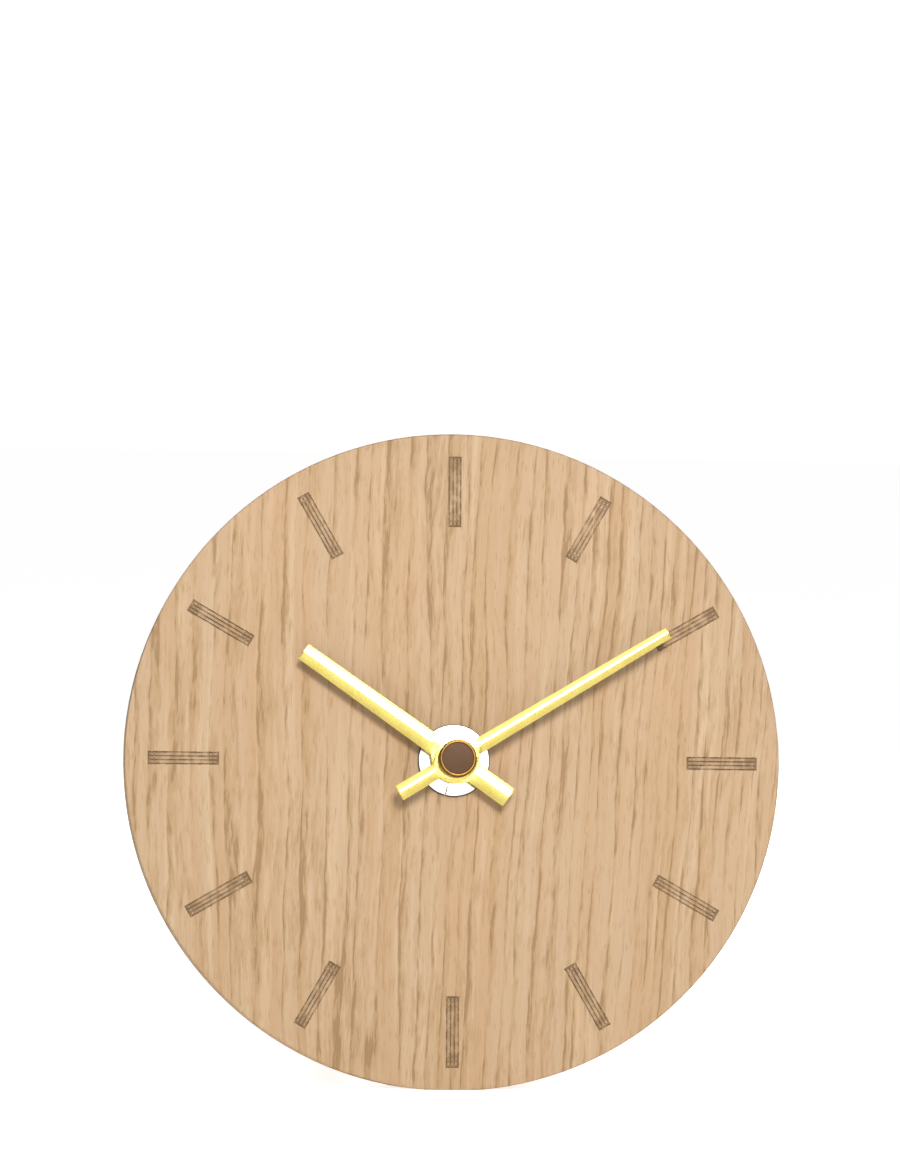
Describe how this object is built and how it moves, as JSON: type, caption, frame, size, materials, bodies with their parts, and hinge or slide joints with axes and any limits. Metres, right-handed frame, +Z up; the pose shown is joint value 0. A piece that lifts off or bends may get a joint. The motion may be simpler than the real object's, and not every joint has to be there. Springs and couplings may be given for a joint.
{
  "type": "mantel clock",
  "caption": "Small round oak desk clock: engraved disc dial, ridged brass hands, battery quartz movement and two rear peg legs.",
  "frame": {"origin": "on the surface the clock stands on, under the middle of its bounding box", "axes": "+Z up, the dial faces -Y and leans back 8 degrees, +X is the reader's right (3 o'clock)"},
  "size_m": [0.16, 0.0678, 0.1582],
  "materials": {
    "oak": "oiled oak veneer, engraved",
    "oak_peg": "turned and oiled oak",
    "hand_brass": "satin lacquered brass sheet",
    "cap_brass": "turned and polished brass",
    "dark_inlay": "dark bronzed face",
    "washer_nickel": "bright nickel plate",
    "hardware_brass": "machined brass",
    "steel": "zinc plated steel",
    "case_plastic": "fine moulded texture",
    "cover_plastic": "fine moulded texture",
    "knob_plastic": "moulded off-white",
    "gear_plastic": "moulded acetal",
    "plate_plastic": "moulded acetal",
    "rubber": "moulded rubber",
    "magnet": "sintered ferrite",
    "soft_iron": "stamped iron",
    "bobbin_plastic": "moulded nylon",
    "copper_wire": "enamelled copper wire",
    "board": "solder-masked laminate",
    "resin": "cured resin drop",
    "battery_wrap": "printed shrink film, plain bands",
    "contact_nickel": "nickel plated spring steel"
  },
  "bodies": {
    "frame": {"dial": "oak", "dial_gasket": "rubber", "dial_washer": "washer_nickel", "dial_nut": "hardware_brass", "stator": "soft_iron", "coil_core": "soft_iron", "coil_bobbin": "bobbin_plastic", "coil_winding": "copper_wire", "motor_screws": "steel", "circuit_board": "board", "chip_cover": "resin", "quartz_crystal": "contact_nickel", "board_screws": "steel", "battery": "battery_wrap", "positive_contact": "contact_nickel", "negative_contact": "contact_nickel", "front_case": "case_plastic", "threaded_bushing": "hardware_brass", "gear_plate": "plate_plastic", "plate_screws": "steel", "rear_cover": "cover_plastic", "cover_screws": "steel", "left_leg": "oak_peg", "right_leg": "oak_peg", "left_leg_tip": "rubber", "right_leg_tip": "rubber", "leg_inserts": "hardware_brass", "leg_studs": "steel", "hanger": "steel", "hanger_screws": "steel"},
    "minute_drive": {"cannon_pinion": "hardware_brass", "clutch_spring": "steel", "minute_hand": "hand_brass", "cap_nut": "cap_brass", "cap_inlay": "dark_inlay"},
    "hour_drive": {"hour_wheel": "gear_plastic", "hour_hand": "hand_brass"},
    "minute_wheel_drive": {"minute_wheel": "gear_plastic"},
    "knob_drive": {"knob_pinion": "gear_plastic", "setting_knob": "knob_plastic"},
    "centre_drive": {"centre_wheel": "gear_plastic"},
    "third_drive": {"third_wheel": "gear_plastic"},
    "seconds_drive": {"seconds_wheel": "gear_plastic"},
    "fifth_drive": {"fifth_wheel": "gear_plastic"},
    "rotor_drive": {"rotor_pinion": "gear_plastic", "rotor_magnet": "magnet"}
  },
  "joints": [
    {"name": "minute_hand_turn", "type": "hinge", "parent": "frame", "child": "minute_drive", "pos_m": [0, -0.01358, 0.07781], "axis": [0, 0.9903, -0.1392], "continuous": true},
    {"name": "hour_hand_turn", "type": "hinge", "parent": "frame", "child": "hour_drive", "pos_m": [0, -0.01358, 0.07781], "axis": [0, 0.9903, -0.1392], "continuous": true},
    {"name": "minute_wheel_turn", "type": "hinge", "parent": "frame", "child": "minute_wheel_drive", "pos_m": [-0.00125, -0.0126, 0.08484], "axis": [0, 0.9903, -0.1392], "continuous": true},
    {"name": "setting_knob_turn", "type": "hinge", "parent": "frame", "child": "knob_drive", "pos_m": [-0.0025, -0.01161, 0.09186], "axis": [0, 0.9903, -0.1392], "continuous": true},
    {"name": "rotor_turn", "type": "hinge", "parent": "frame", "child": "rotor_drive", "pos_m": [-0.01406, -0.01361, 0.07763], "axis": [0, 0.9903, -0.1392], "continuous": true},
    {"name": "fifth_wheel_turn", "type": "hinge", "parent": "frame", "child": "fifth_drive", "pos_m": [-0.00855, -0.01402, 0.07473], "axis": [0, 0.9903, -0.1392], "continuous": true},
    {"name": "seconds_wheel_turn", "type": "hinge", "parent": "frame", "child": "seconds_drive", "pos_m": [0, -0.01358, 0.07781], "axis": [0, 0.9903, -0.1392], "continuous": true},
    {"name": "third_wheel_turn", "type": "hinge", "parent": "frame", "child": "third_drive", "pos_m": [0.00985, -0.01322, 0.08043], "axis": [0, 0.9903, -0.1392], "continuous": true},
    {"name": "centre_wheel_turn", "type": "hinge", "parent": "frame", "child": "centre_drive", "pos_m": [0, -0.01358, 0.07781], "axis": [0, 0.9903, -0.1392], "continuous": true}
  ],
  "couplings": [
    {"joint": "hour_hand_turn", "follows": "minute_hand_turn", "ratio": 0.083333},
    {"joint": "minute_wheel_turn", "follows": "minute_hand_turn", "ratio": -0.33333},
    {"joint": "setting_knob_turn", "follows": "minute_hand_turn", "ratio": 1},
    {"joint": "fifth_wheel_turn", "follows": "rotor_turn", "ratio": -0.2},
    {"joint": "seconds_wheel_turn", "follows": "rotor_turn", "ratio": 0.033333},
    {"joint": "third_wheel_turn", "follows": "rotor_turn", "ratio": -0.0041667},
    {"joint": "centre_wheel_turn", "follows": "rotor_turn", "ratio": 0.00055556}
  ]
}
